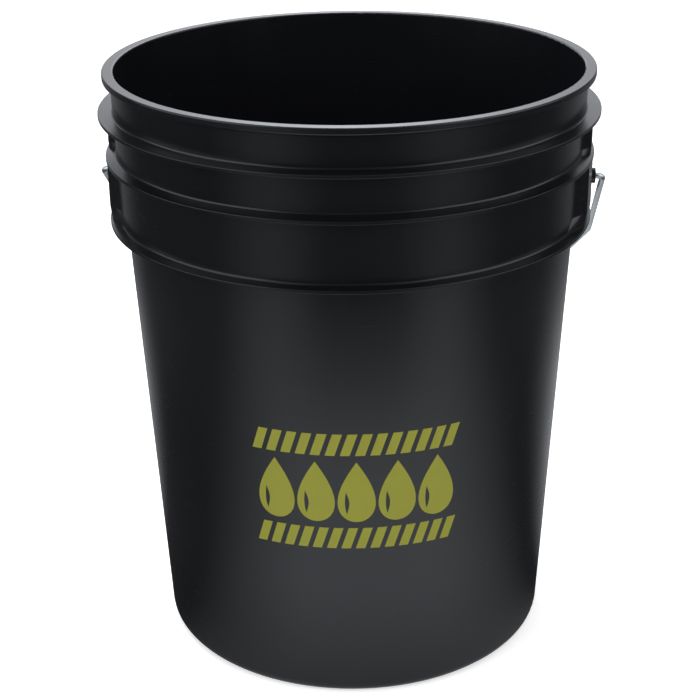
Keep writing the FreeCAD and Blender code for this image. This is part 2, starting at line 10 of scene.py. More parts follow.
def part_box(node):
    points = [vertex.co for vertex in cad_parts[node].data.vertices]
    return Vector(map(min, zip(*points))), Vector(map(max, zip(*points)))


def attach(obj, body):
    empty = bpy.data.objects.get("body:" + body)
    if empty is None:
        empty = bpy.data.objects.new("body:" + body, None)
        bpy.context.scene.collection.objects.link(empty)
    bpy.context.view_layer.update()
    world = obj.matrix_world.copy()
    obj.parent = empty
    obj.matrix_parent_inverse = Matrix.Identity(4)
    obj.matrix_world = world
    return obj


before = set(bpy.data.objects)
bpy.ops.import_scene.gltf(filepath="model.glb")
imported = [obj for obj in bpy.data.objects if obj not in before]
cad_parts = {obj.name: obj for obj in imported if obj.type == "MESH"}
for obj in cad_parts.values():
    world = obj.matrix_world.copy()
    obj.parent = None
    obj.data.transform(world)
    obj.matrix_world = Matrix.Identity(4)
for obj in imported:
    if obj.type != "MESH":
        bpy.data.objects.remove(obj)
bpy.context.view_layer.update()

bl_info = {
    "name": "Wash Bucket",
    "version": (1, 0, 0),
    "blender": (4, 5, 0),
    "location": "3D View > Sidebar > Wash Bucket",
    "description": "Finishes, printed decoration and studio for a wash bucket built in CAD",
    "category": "Object",
}

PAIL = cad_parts["pail"]
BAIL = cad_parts["bail"]
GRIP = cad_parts["grip"]
PAIL_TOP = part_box("pail")[1].z
MM = 0.001
WHITE = (1, 1, 1, 1)


def linear(hex_text):
    """An sRGB colour written as six hex digits, as the linear values that Blender wants."""
    channels = [int(hex_text[place:place + 2], 16) / 255 for place in (0, 2, 4)]
    return tuple(c / 12.92 if c <= 0.04045 else ((c + 0.055) / 1.055) ** 2.4 for c in channels)


# The studio's light as glossy pieces mirror it: daylight tubes, a little cool.
COOL_WHITE = linear("F6F9FF")


# Settings, as a user of the add-on would change them.

class BucketFinish(bpy.types.PropertyGroup):
    """Colours of the three pieces."""
    pail_colour: FloatVectorProperty(
        name="Pail", description="Colour of the moulded polyethylene", subtype="COLOR",
        default=linear("0E0F12"), min=0, max=1)
    wire_colour: FloatVectorProperty(
        name="Wire", description="Colour of the zinc plate on the bail", subtype="COLOR",
        default=linear("E0E8E8"), min=0, max=1)
    grip_colour: FloatVectorProperty(
        name="Grip", description="Colour of the moulded polypropylene grip", subtype="COLOR",
        default=linear("18181A"), min=0, max=1)


class BucketPrint(bpy.types.PropertyGroup):
    """The screen-printed decoration: two rows of leaning bars with a row of drops between them."""
    ink_colour: FloatVectorProperty(
        name="Ink", description="Colour of the printed ink", subtype="COLOR",
        default=linear("838419"), min=0, max=1)
    turn: FloatProperty(
        name="Turn", description="Place of the print round the pail, from the front towards +X",
        default=math.radians(5.6), subtype="ANGLE")
    middle: FloatProperty(
        name="Height", description="Height of the print's middle",
        default=145.7 * MM, unit="LENGTH")
    width: FloatProperty(
        name="Width", description="Length of each row round the pail",
        default=119 * MM, unit="LENGTH")
    gap: FloatProperty(
        name="Row Gap", description="Bare strip between two rows", default=4.2 * MM, unit="LENGTH")
    bar_count: IntProperty(name="Bars", description="Bars in each row", default=14, min=1)
    bar_width: FloatProperty(
        name="Bar Width", description="Width of one bar", default=5.7 * MM, unit="LENGTH")
    bar_height: FloatProperty(
        name="Bar Height", description="Height of one bar", default=14.1 * MM, unit="LENGTH")
    bar_lean: FloatProperty(
        name="Bar Lean", description="How far a bar's top stands to the right of its foot",
        default=4.6 * MM, unit="LENGTH")
    drop_count: IntProperty(name="Drops", description="Drops in the middle row", default=5, min=1)
    drop_width: FloatProperty(
        name="Drop Width", description="Width of one drop", default=22.8 * MM, unit="LENGTH")
    drop_height: FloatProperty(
        name="Drop Height", description="Height of one drop", default=40.5 * MM, unit="LENGTH")
    ink_lift: FloatProperty(
        name="Ink Thickness", description="How far the ink stands off the plastic",
        default=0.06 * MM, unit="LENGTH", precision=5)


class BucketStage(bpy.types.PropertyGroup):
    """Camera and light."""
    camera_turn: FloatProperty(
        name="Camera Turn", description="Camera's place round the pail, from the front towards +X",
        default=math.radians(4.8), subtype="ANGLE")
    camera_rise: FloatProperty(
        name="Camera Rise", description="How far the camera looks down",
        default=math.radians(23.487), subtype="ANGLE")
    camera_roll: FloatProperty(
        name="Camera Roll", description="Tilt of the camera about its own axis",
        default=math.radians(-0.6), subtype="ANGLE")
    camera_distance: FloatProperty(
        name="Camera Distance", description="From the camera to the point that it looks at",
        default=1.0466, unit="LENGTH")
    aim_height: FloatProperty(
        name="Aim Height", description="Height of the point that the camera looks at",
        default=0.1795, unit="LENGTH")
    lens: FloatProperty(
        name="Lens", description="Focal length in millimetres", default=83.1)
    shift_x: FloatProperty(
        name="Shift X", description="Sideways shift of the picture", default=-0.00284)
    shift_y: FloatProperty(
        name="Shift Y", description="Upward shift of the picture", default=-0.00112)
    floor_colour: FloatVectorProperty(
        name="Floor", description="Colour of the floor", subtype="COLOR",
        default=linear("F4F4F4"), min=0, max=1)


# Materials.

def add_node(tree, kind, inputs=None, **settings):
    """Add a node with its settings; an input is a value, or another node's output to link to."""
    node = tree.nodes.new(kind)
    for name, value in settings.items():
        setattr(node, name, value)
    for name, value in (inputs or {}).items():
        if isinstance(value, bpy.types.NodeSocket):
            tree.links.new(value, node.inputs[name])
        else:
            node.inputs[name].default_value = value
    return node


def new_material(name):
    """An empty node material with its tree."""
    material = bpy.data.materials.new(name)
    material.use_nodes = True
    material.node_tree.nodes.clear()
    return material, material.node_tree


def per_metre(size):
    """Scale of a noise texture whose features are about this far apart, in millimetres."""
    return 1 / (size * MM)


def rgba(colour, brightness=1.0):
    """A colour setting with alpha, made lighter or darker."""
    return (*(min(1.0, channel * brightness) for channel in colour), 1.0)


def moulded_polyethylene(colour):
    """Black high-density polyethylene, injection moulded and polished by its mould.

    The eye sees a near-black body under a broad, slightly cloudy gloss. Flow from the gate at the
    floor leaves faint upright streaks, cooling leaves a fine orange peel, and handling leaves
    hair-fine scratches that run mostly round the pail.
    """
    # Sizes in millimetres.
    streak_gap, cloud_size, scratch_gap, peel_size = 9, 55, 30, 2.2
    streak_depth, peel_depth = 0.03, 0.006
    upright_stretch, round_squeeze = 0.04, 22
    scratch_tilt = (math.radians(7), math.radians(4), 0)
    scratch_start, scratch_full, scratch_dulling = 0.66, 0.72, 0.08
    material, tree = new_material("moulded_black_hdpe")
    place = add_node(tree, "ShaderNodeTexCoord").outputs["Object"]
    upright = add_node(tree, "ShaderNodeMapping", {
        "Vector": place, "Scale": (1, 1, upright_stretch)})
    streaks = add_node(tree, "ShaderNodeTexNoise", {
        "Vector": upright.outputs["Vector"], "Scale": per_metre(streak_gap),
        "Detail": 3, "Roughness": 0.6})
    clouds = add_node(tree, "ShaderNodeTexNoise", {
        "Vector": place, "Scale": per_metre(cloud_size), "Detail": 2, "Roughness": 0.5})
    around = add_node(tree, "ShaderNodeMapping", {
        "Vector": place, "Rotation": scratch_tilt, "Scale": (1, 1, round_squeeze)})
    scratches = add_node(tree, "ShaderNodeTexNoise", {
        "Vector": around.outputs["Vector"], "Scale": per_metre(scratch_gap),
        "Detail": 4, "Roughness": 0.7})
    scratch_lines = add_node(tree, "ShaderNodeValToRGB", {"Fac": scratches.outputs["Fac"]})
    scratch_lines.color_ramp.elements[0].position = scratch_start
    scratch_lines.color_ramp.elements[1].position = scratch_full
    both = add_node(tree, "ShaderNodeMath", {
        0: streaks.outputs["Fac"], 1: clouds.outputs["Fac"]}, operation="ADD")
    gloss = add_node(tree, "ShaderNodeMapRange", {
        "Value": both.outputs["Value"], "From Min": 0.7, "From Max": 1.3,
        "To Min": 0.2, "To Max": 0.26})
    marked = add_node(tree, "ShaderNodeMath", {
        0: scratch_lines.outputs["Color"], 1: scratch_dulling, 2: gloss.outputs["Result"],
    }, operation="MULTIPLY_ADD")
    tint = add_node(tree, "ShaderNodeMix", {
        "Factor": both.outputs["Value"], 6: rgba(colour, 0.9), 7: rgba(colour, 1.15),
    }, data_type="RGBA")
    peel = add_node(tree, "ShaderNodeTexNoise", {
        "Vector": place, "Scale": per_metre(peel_size), "Detail": 2, "Roughness": 0.5})
    bumps = add_node(tree, "ShaderNodeBump", {
        "Height": peel.outputs["Fac"], "Strength": 0.35, "Distance": peel_depth * MM})
    bumps = add_node(tree, "ShaderNodeBump", {
        "Height": streaks.outputs["Fac"], "Normal": bumps.outputs["Normal"],
        "Strength": 0.3, "Distance": streak_depth * MM})
    plastic = add_node(tree, "ShaderNodeBsdfPrincipled", {
        "Base Color": tint.outputs[2], "Roughness": marked.outputs["Value"],
        "Normal": bumps.outputs["Normal"], "IOR": 1.54})
    add_node(tree, "ShaderNodeOutputMaterial", {"Surface": plastic.outputs["BSDF"]})
    return material


def zinc_plated_wire(colour):
    """Drawn steel wire with a thin bright zinc plate.

    The eye sees a cool grey metal with a soft sparkle: the plate's fine grain clouds the
    reflections and breaks up the highlight along the wire.
    """
    # Sizes in millimetres.
    cloud_size, grain_size, grain_depth = 6, 0.5, 0.02
    material, tree = new_material("zinc_plated_steel_wire")
    place = add_node(tree, "ShaderNodeTexCoord").outputs["Object"]
    clouds = add_node(tree, "ShaderNodeTexNoise", {
        "Vector": place, "Scale": per_metre(cloud_size), "Detail": 3, "Roughness": 0.6})
    grain = add_node(tree, "ShaderNodeTexNoise", {
        "Vector": place, "Scale": per_metre(grain_size), "Detail": 2, "Roughness": 0.6})
    gloss = add_node(tree, "ShaderNodeMapRange", {
        "Value": clouds.outputs["Fac"], "From Min": 0.3, "From Max": 0.7,
        "To Min": 0.22, "To Max": 0.38})
    tint = add_node(tree, "ShaderNodeMix", {
        "Factor": clouds.outputs["Fac"], 6: rgba(colour, 0.85), 7: rgba(colour, 1.1),
    }, data_type="RGBA")
    bumps = add_node(tree, "ShaderNodeBump", {
        "Height": grain.outputs["Fac"], "Strength": 0.3, "Distance": grain_depth * MM})
    metal = add_node(tree, "ShaderNodeBsdfPrincipled", {
        "Base Color": tint.outputs[2], "Metallic": 1.0, "Roughness": gloss.outputs["Result"],
        "Normal": bumps.outputs["Normal"]})
    add_node(tree, "ShaderNodeOutputMaterial", {"Surface": metal.outputs["BSDF"]})
    return material


def moulded_polypropylene(colour):
    """Black polypropylene, moulded in a spark-eroded mould.

    The eye sees a dull, even black with a fine sparkle where the light grazes the grain.
    """
    # Sizes in millimetres. Spark erosion leaves pits of about 0.1 mm; they are drawn at 0.6 mm so
    # that they show.
    grain_size, grain_depth, wear_size = 0.6, 0.04, 18
    material, tree = new_material("moulded_black_polypropylene")
    place = add_node(tree, "ShaderNodeTexCoord").outputs["Object"]
    grain = add_node(tree, "ShaderNodeTexNoise", {
        "Vector": place, "Scale": per_metre(grain_size), "Detail": 2, "Roughness": 0.6})
    wear = add_node(tree, "ShaderNodeTexNoise", {
        "Vector": place, "Scale": per_metre(wear_size), "Detail": 3, "Roughness": 0.6})
    gloss = add_node(tree, "ShaderNodeMapRange", {
        "Value": wear.outputs["Fac"], "From Min": 0.3, "From Max": 0.7,
        "To Min": 0.4, "To Max": 0.52})
    tint = add_node(tree, "ShaderNodeMix", {
        "Factor": wear.outputs["Fac"], 6: rgba(colour, 0.85), 7: rgba(colour, 1.2),
    }, data_type="RGBA")
    bumps = add_node(tree, "ShaderNodeBump", {
        "Height": grain.outputs["Fac"], "Strength": 0.5, "Distance": grain_depth * MM})
    plastic = add_node(tree, "ShaderNodeBsdfPrincipled", {
        "Base Color": tint.outputs[2], "Roughness": gloss.outputs["Result"],
        "Normal": bumps.outputs["Normal"], "IOR": 1.49})
    add_node(tree, "ShaderNodeOutputMaterial", {"Surface": plastic.outputs["BSDF"]})
    return material


def screen_printed_ink(colour):
    """Opaque screen-printing ink, one pass, dried matt.

    The eye sees a flat olive yellow that is a little uneven in depth, with the screen's mesh as a
    faint grain.
    """
    # Sizes in millimetres. A screen has a thread every 0.1 mm; its grain is drawn at 0.5 mm so
    # that it shows.
    patch_size, mesh_size, mesh_depth = 12, 0.5, 0.02
    material, tree = new_material("screen_printed_ink")
    place = add_node(tree, "ShaderNodeTexCoord").outputs["Object"]
    patches = add_node(tree, "ShaderNodeTexNoise", {
        "Vector": place, "Scale": per_metre(patch_size), "Detail": 4, "Roughness": 0.65})
    mesh_grain = add_node(tree, "ShaderNodeTexNoise", {
        "Vector": place, "Scale": per_metre(mesh_size), "Detail": 1, "Roughness": 0.5})
    tint = add_node(tree, "ShaderNodeMix", {
        "Factor": patches.outputs["Fac"], 6: rgba(colour, 0.93), 7: rgba(colour, 1.08),
    }, data_type="RGBA")
    bumps = add_node(tree, "ShaderNodeBump", {
        "Height": mesh_grain.outputs["Fac"], "Strength": 0.3, "Distance": mesh_depth * MM})
    gloss = add_node(tree, "ShaderNodeMapRange", {
        "Value": patches.outputs["Fac"], "From Min": 0.3, "From Max": 0.7,
        "To Min": 0.42, "To Max": 0.55})
    ink = add_node(tree, "ShaderNodeBsdfPrincipled", {
        "Base Color": tint.outputs[2], "Roughness": gloss.outputs["Result"],
        "Normal": bumps.outputs["Normal"], "IOR": 1.5})
    add_node(tree, "ShaderNodeOutputMaterial", {"Surface": ink.outputs["BSDF"]})
    return material


def give_material(piece, material):
    """Put one material on every face of a piece."""
    piece.data.materials.clear()
    piece.data.materials.append(material)


# Printed decoration.

# Heights, as shares of the pail's, between which the body is a plain cone.
CONE_LOW = 0.2
CONE_HIGH = 0.65
# How many places round the pail its radius is measured at.
CONE_SAMPLES = 360
# Points across and up one bar, and one half of a drop.
BAR_COLUMNS, BAR_LEVELS = 6, 8
DROP_COLUMNS, DROP_LEVELS = 9, 48
# How fast a drop narrows to its point, and what brings its widest place back to the full width.
DROP_TAPER = 1.1
DROP_FULLNESS = 1.30
# The bare crescent of gloss: its foot and top as shares of the drop's height, its place left of
# the middle as a share of the half width there, and its width as a share of the drop's.
CRESCENT_FOOT = 0.13
CRESCENT_TOP = 0.5
CRESCENT_PLACE = 0.62
CRESCENT_WIDTH = 0.115
# How far the skin of ink reaches into the plastic, and how near two of its points may be.
INK_ROOT = 0.3 * MM
INK_MERGE = 0.02 * MM


class PailWall:
    """The plain cone of the pail's body, measured on the CAD piece."""

    def __init__(self):
        tree = BVHTree.FromObject(PAIL, bpy.context.evaluated_depsgraph_get())
        self.low = CONE_LOW * PAIL_TOP
        self.high = CONE_HIGH * PAIL_TOP
        self.low_radius = self.measure(tree, self.low)
        self.high_radius = self.measure(tree, self.high)

    def measure(self, tree, height):
        """Largest outside radius at a height: the CAD mesh is flat between its corners."""
        far = 2 * PAIL_TOP
        radii = []
        for step in range(CONE_SAMPLES):
            turn = 2 * math.pi * step / CONE_SAMPLES
            outward = Vector((math.cos(turn), math.sin(turn), 0))
            hit = tree.ray_cast(outward * far + Vector((0, 0, height)), -outward)[0]
            radii.append(hit.xy.length)
        return max(radii)

    def radius(self, height):
        """Radius of the cone at a height."""
        share = (height - self.low) / (self.high - self.low)
        return self.low_radius + share * (self.high_radius - self.low_radius)

    def point(self, turn, height, lift):
        """A point at this angle from the front (-Y, towards +X), lifted off the wall."""
        radius = self.radius(height) + lift
        return Vector((radius * math.sin(turn), -radius * math.cos(turn), height))


def add_strip(mesh, rows, place):
    """Fill between rows of (across, up) points, all of one length, with faces on the wall."""
    made = [[mesh.verts.new(place(across, up)) for across, up in row] for row in rows]
    for low, high in zip(made, made[1:]):
        for left in range(len(low) - 1):
            mesh.faces.new((low[left], low[left + 1], high[left + 1], high[left]))


def share_out(start, end, count):
    """Points from start to end, evenly spaced, both ends included."""
    return [start + (end - start) * step / (count - 1) for step in range(count)]


def bar_rows(settings, middle):
    """One leaning bar as rows of points, with its middle at this place across the print."""
    rows = []
    for share in share_out(0, 1, BAR_LEVELS):
        lean = settings.bar_lean * (share - 0.5)
        left = middle + lean - settings.bar_width / 2
        rows.append([(across, settings.bar_height * share)
                     for across in share_out(left, left + settings.bar_width, BAR_COLUMNS)])
    return rows


def drop_half_width(share, width):
    """Half width of a drop at this share of its height: round below, drawn to a point above."""
    turn = math.acos(1 - 2 * share)
    return 0.5 * width * math.sin(turn) * math.cos(turn / 2) ** DROP_TAPER * DROP_FULLNESS


def drop_strips(settings, middle):
    """One drop as two strips of rows, left and right of the bare crescent that marks its gloss."""
    left_rows, right_rows = [], []
    for level in range(DROP_LEVELS):
        share = 0.5 - 0.5 * math.cos(math.pi * level / (DROP_LEVELS - 1))
        up = settings.drop_height * share
        half = drop_half_width(share, settings.drop_width)
        along = (share - CRESCENT_FOOT) / (CRESCENT_TOP - CRESCENT_FOOT)
        bulge = math.sin(math.pi * along) if 0 < along < 1 else 0.0
        crescent_left = middle - CRESCENT_PLACE * half
        crescent_right = crescent_left + CRESCENT_WIDTH * settings.drop_width * bulge
        left_rows.append([
            (across, up) for across in share_out(middle - half, crescent_left, DROP_COLUMNS)])
        right_rows.append([
            (across, up) for across in share_out(crescent_right, middle + half, DROP_COLUMNS)])
    return left_rows, right_rows


def printed_piece(name, strips, settings, wall, foot):
    """A closed skin of ink on the wall from strips of rows, starting at this height."""
    def place(across, up):
        turn = settings.turn + across / wall.radius(settings.middle)
        return wall.point(turn, foot + up, settings.ink_lift)

    ink = bmesh.new()
    for rows in strips:
        add_strip(ink, rows, place)
    bmesh.ops.remove_doubles(ink, verts=ink.verts, dist=INK_MERGE)
    grown = bmesh.ops.extrude_face_region(ink, geom=ink.faces[:])
    # The skin's inside face lies a little under the plastic, so that no gap shows at its edge.
    root = settings.ink_lift + INK_ROOT
    for vertex in (item for item in grown["geom"] if isinstance(item, bmesh.types.BMVert)):
        shrink = 1 - root / vertex.co.xy.length
        vertex.co = Vector((vertex.co.x * shrink, vertex.co.y * shrink, vertex.co.z))
    bmesh.ops.recalc_face_normals(ink, faces=ink.faces)
    data = bpy.data.meshes.new(name)
    ink.to_mesh(data)
    ink.free()
    piece = bpy.data.objects.new(name, data)
    bpy.context.scene.collection.objects.link(piece)
    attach(piece, "pail")
    return piece


# Operators.

class BUCKET_OT_finish_pail(bpy.types.Operator):
    """Give the pail its moulded polyethylene"""
    bl_idname = "bucket.finish_pail"
    bl_label = "Finish Pail"

    def execute(self, context):
        give_material(PAIL, moulded_polyethylene(context.scene.bucket_finish.pail_colour))
        return {"FINISHED"}


class BUCKET_OT_finish_bail(bpy.types.Operator):
    """Give the bail its zinc plate"""
    bl_idname = "bucket.finish_bail"
    bl_label = "Finish Bail"

    def execute(self, context):
        give_material(BAIL, zinc_plated_wire(context.scene.bucket_finish.wire_colour))
        return {"FINISHED"}


class BUCKET_OT_finish_grip(bpy.types.Operator):
    """Give the grip its moulded polypropylene"""
    bl_idname = "bucket.finish_grip"
    bl_label = "Finish Grip"

    def execute(self, context):
        give_material(GRIP, moulded_polypropylene(context.scene.bucket_finish.grip_colour))
        return {"FINISHED"}


class BUCKET_OT_print_decoration(bpy.types.Operator):
    """Print two rows of leaning bars and a row of drops on the front of the pail"""
    bl_idname = "bucket.print_decoration"
    bl_label = "Print Decoration"

    def execute(self, context):
        settings = context.scene.bucket_print
        wall = PailWall()
        ink = screen_printed_ink(settings.ink_colour)
        drops_foot = settings.middle - settings.drop_height / 2
        bar_reach = (settings.width - settings.bar_width) / 2
        bar_places = share_out(-bar_reach, bar_reach, settings.bar_count)
        bars = [bar_rows(settings, middle) for middle in bar_places]
        drop_reach = (settings.width - settings.drop_width) / 2
        drop_places = share_out(-drop_reach, drop_reach, settings.drop_count)
        drops = [strip for middle in drop_places for strip in drop_strips(settings, middle)]
        upper_foot = drops_foot + settings.drop_height + settings.gap
        lower_foot = drops_foot - settings.gap - settings.bar_height
        for name, strips, foot in (
                ("print_upper_bars", bars, upper_foot),
                ("print_drops", drops, drops_foot),
                ("print_lower_bars", bars, lower_foot)):
            give_material(printed_piece(name, strips, settings, wall, foot), ink)
        return {"FINISHED"}


# Stage.

def studio_floor(colour):
    """Matt white vinyl sweep, seamless.

    Straight views show plain white with the pail's soft shadow. Glossy pieces see painted light
    on it, an emission in place of the lamps' light: bright in front of the pail with a painted
    shadow under it, painted shade at both sides, a painted pool of light left and right farther
    out, and painted light again behind.
    """
    # Bearings from the front (-Y), towards +X.
    front_middle, front_inside, front_outside = (math.radians(turn) for turn in (12, 20, 85))
    pool_middle, pool_turn, pool_half_width = (math.radians(turn) for turn in (8, 40, 30))
    back_middle, back_start, back_end = (math.radians(turn) for turn in (-2, 95, 150))
    # Distances from the pail's middle, in millimetres.
    shadow_start, shadow_end = 125, 230
    near_end, far_start = 360, 610
    pool_end, pool_gone = 600, 800
    back_near, back_far = 420, 680
    # Levels of light, where 1 is white.
    front_level, side_level, painted_shadow_level = 0.93, 0.05, 0.5
    pool_level, between_level, thin_share = 0.58, 0.1, 0.45
    back_level, back_far_share = 0.55, 0.4
    lift_level = 0.5
    material, tree = new_material("white_vinyl_floor")
    place = add_node(tree, "ShaderNodeTexCoord").outputs["Object"]
    split = add_node(tree, "ShaderNodeSeparateXYZ", {"Vector": place})
    away = add_node(tree, "ShaderNodeVectorMath", {0: place}, operation="LENGTH")
    forward = add_node(tree, "ShaderNodeMath", {
        0: split.outputs["Y"], 1: -1}, operation="MULTIPLY")
    bearing = add_node(tree, "ShaderNodeMath", {
        0: split.outputs["X"], 1: forward.outputs["Value"]}, operation="ARCTAN2")

    # Near the pail: painted light in front, falling to painted shade at both sides, and a painted
    # shadow under the pail.
    off_front = add_node(tree, "ShaderNodeMath", {
        0: bearing.outputs["Value"], 1: front_middle}, operation="SUBTRACT")
    off_front = add_node(tree, "ShaderNodeMath", {
        0: off_front.outputs["Value"]}, operation="ABSOLUTE")
    painted_front_light = add_node(tree, "ShaderNodeMapRange", {
        "Value": off_front.outputs["Value"], "From Min": front_inside, "From Max": front_outside,
        "To Min": front_level, "To Max": side_level}, interpolation_type="SMOOTHSTEP")
    painted_shadow_under_pail = add_node(tree, "ShaderNodeMapRange", {
        "Value": away.outputs["Value"], "From Min": shadow_start * MM, "From Max": shadow_end * MM,
        "To Min": painted_shadow_level, "To Max": 1.0})
    near = add_node(tree, "ShaderNodeMath", {
        0: painted_front_light.outputs["Result"], 1: painted_shadow_under_pail.outputs["Result"]}, operation="MULTIPLY")

    # Farther out: a painted pool of light on each side, with painted shade between and beyond
    # them.
    off_middle = add_node(tree, "ShaderNodeMath", {
        0: bearing.outputs["Value"], 1: pool_middle}, operation="SUBTRACT")
    off_middle = add_node(tree, "ShaderNodeMath", {
        0: off_middle.outputs["Value"]}, operation="ABSOLUTE")
    off_pool = add_node(tree, "ShaderNodeMath", {
        0: off_middle.outputs["Value"], 1: pool_turn}, operation="SUBTRACT")
    off_pool = add_node(tree, "ShaderNodeMath", {
        0: off_pool.outputs["Value"]}, operation="ABSOLUTE")
    pool = add_node(tree, "ShaderNodeMapRange", {
        "Value": off_pool.outputs["Value"], "From Min": 0.0, "From Max": pool_half_width,
        "To Min": pool_level, "To Max": between_level}, interpolation_type="SMOOTHSTEP")
    thinning = add_node(tree, "ShaderNodeMapRange", {
        "Value": away.outputs["Value"], "From Min": pool_end * MM, "From Max": pool_gone * MM,
        "To Min": 1.0, "To Max": thin_share})
    far = add_node(tree, "ShaderNodeMath", {
        0: pool.outputs["Result"], 1: thinning.outputs["Result"]}, operation="MULTIPLY")

    # Behind: painted light, fading with distance.
    off_back = add_node(tree, "ShaderNodeMath", {
        0: bearing.outputs["Value"], 1: back_middle}, operation="SUBTRACT")
    off_back = add_node(tree, "ShaderNodeMath", {
        0: off_back.outputs["Value"]}, operation="ABSOLUTE")
    painted_back_light = add_node(tree, "ShaderNodeMapRange", {
        "Value": off_back.outputs["Value"], "From Min": back_start, "From Max": back_end,
        "To Min": 0.0, "To Max": back_level}, interpolation_type="SMOOTHSTEP")
    fading = add_node(tree, "ShaderNodeMapRange", {
        "Value": away.outputs["Value"], "From Min": back_near * MM, "From Max": back_far * MM,
        "To Min": 1.0, "To Max": back_far_share})
    behind = add_node(tree, "ShaderNodeMath", {
        0: painted_back_light.outputs["Result"], 1: fading.outputs["Result"]}, operation="MULTIPLY")

    nearness = add_node(tree, "ShaderNodeMapRange", {
        "Value": away.outputs["Value"], "From Min": near_end * MM, "From Max": far_start * MM,
        "To Min": 1.0, "To Max": 0.0}, interpolation_type="SMOOTHSTEP")
    level = add_node(tree, "ShaderNodeMix", {
        "Factor": nearness.outputs["Result"], 2: far.outputs["Value"], 3: near.outputs["Value"],
    }, data_type="FLOAT")
    level = add_node(tree, "ShaderNodeMath", {
        0: level.outputs[0], 1: behind.outputs["Value"]}, operation="MAXIMUM")
    # Painted light: glossy pieces see this emission as the floor's light, with its painted pools
    # of light, painted shade and painted shadow under the pail.
    mirrored = add_node(tree, "ShaderNodeEmission", {
        "Color": rgba(COOL_WHITE), "Strength": level.outputs["Value"]})
    vinyl = add_node(tree, "ShaderNodeBsdfDiffuse", {"Color": rgba(colour)})
    lift = add_node(tree, "ShaderNodeEmission", {"Color": WHITE, "Strength": lift_level})
    seen = add_node(tree, "ShaderNodeAddShader", {
        0: vinyl.outputs["BSDF"], 1: lift.outputs["Emission"]})
    rays = add_node(tree, "ShaderNodeLightPath")
    straight = add_node(tree, "ShaderNodeMixShader", {
        "Fac": rays.outputs["Is Camera Ray"], 1: vinyl.outputs["BSDF"], 2: seen.outputs["Shader"]})
    surface = add_node(tree, "ShaderNodeMixShader", {
        "Fac": rays.outputs["Is Glossy Ray"], 1: straight.outputs["Shader"],
        2: mirrored.outputs["Emission"]})
    add_node(tree, "ShaderNodeOutputMaterial", {"Surface": surface.outputs["Shader"]})
    return material


def light_world():
    """The air round the stage: white in straight views.

    Mirrored views show a white backdrop a little wider than the pail, a bright lamp bank over its
    middle, a bank at each side, and a dim studio in front.
    """
    # Bearings from the back (+Y).
    stage_turn, lamp_half_width = (math.radians(turn) for turn in (5, 10))
    backdrop_inside, backdrop_outside = (math.radians(turn) for turn in (14, 38))
    bank_turn, bank_inside, bank_outside = (math.radians(turn) for turn in (105, 25, 45))
    # Rise of the lamp bank over the backdrop, as the sine of its angle above the floor.
    lamp_foot, lamp_full = 0.23, 0.29
    # Levels of light, where 1 is white.
    backdrop_level, studio_level, bank_level, lamp_level = 1.0, 0.12, 1.2, 2.8
    fill_level = 0.6
    world = bpy.data.worlds.new("studio_air")
    bpy.context.scene.world = world
    world.use_nodes = True
    tree = world.node_tree
    tree.nodes.clear()
    direction = add_node(tree, "ShaderNodeTexCoord").outputs["Generated"]
    split = add_node(tree, "ShaderNodeSeparateXYZ", {"Vector": direction})
    sideways = add_node(tree, "ShaderNodeMath", {
        0: split.outputs["X"], 1: split.outputs["Y"]}, operation="ARCTAN2")
    sideways = add_node(tree, "ShaderNodeMath", {
        0: sideways.outputs["Value"], 1: stage_turn}, operation="ADD")
    aside = add_node(tree, "ShaderNodeMath", {
        0: sideways.outputs["Value"]}, operation="ABSOLUTE")
    backdrop = add_node(tree, "ShaderNodeMapRange", {
        "Value": aside.outputs["Value"], "From Min": backdrop_inside,
        "From Max": backdrop_outside, "To Min": backdrop_level, "To Max": studio_level,
    }, interpolation_type="SMOOTHSTEP")
    off_bank = add_node(tree, "ShaderNodeMath", {
        0: aside.outputs["Value"], 1: bank_turn}, operation="SUBTRACT")
    off_bank = add_node(tree, "ShaderNodeMath", {
        0: off_bank.outputs["Value"]}, operation="ABSOLUTE")
    banks = add_node(tree, "ShaderNodeMapRange", {
        "Value": off_bank.outputs["Value"], "From Min": bank_inside, "From Max": bank_outside,
        "To Min": bank_level, "To Max": 0.0}, interpolation_type="SMOOTHSTEP")
    around = add_node(tree, "ShaderNodeMath", {
        0: backdrop.outputs["Result"], 1: banks.outputs["Result"]}, operation="MAXIMUM")
    risen = add_node(tree, "ShaderNodeMapRange", {
        "Value": split.outputs["Z"], "From Min": lamp_foot, "From Max": lamp_full,
        "To Min": 0.0, "To Max": lamp_level}, interpolation_type="SMOOTHSTEP")
    centred = add_node(tree, "ShaderNodeMapRange", {
        "Value": aside.outputs["Value"], "From Min": 0.0, "From Max": lamp_half_width,
        "To Min": 1.0, "To Max": 0.0}, interpolation_type="SMOOTHSTEP")
    level = add_node(tree, "ShaderNodeMath", {
        0: risen.outputs["Result"], 1: centred.outputs["Result"], 2: around.outputs["Value"],
    }, operation="MULTIPLY_ADD")
    fill = add_node(tree, "ShaderNodeBackground", {"Color": WHITE, "Strength": fill_level})
    mirrored = add_node(tree, "ShaderNodeBackground", {
        "Color": rgba(COOL_WHITE), "Strength": level.outputs["Value"]})
    white = add_node(tree, "ShaderNodeBackground", {"Color": WHITE, "Strength": 1.0})
    rays = add_node(tree, "ShaderNodeLightPath")
    glossy = add_node(tree, "ShaderNodeMath", {
        0: rays.outputs["Is Glossy Ray"], 1: rays.outputs["Is Transmission Ray"],
    }, operation="MAXIMUM")
    unseen = add_node(tree, "ShaderNodeMixShader", {
        "Fac": glossy.outputs["Value"], 1: fill.outputs["Background"],
        2: mirrored.outputs["Background"]})
    air = add_node(tree, "ShaderNodeMixShader", {
        "Fac": rays.outputs["Is Camera Ray"], 1: unseen.outputs["Shader"],
        2: white.outputs["Background"]})
    add_node(tree, "ShaderNodeOutputWorld", {"Surface": air.outputs["Shader"]})


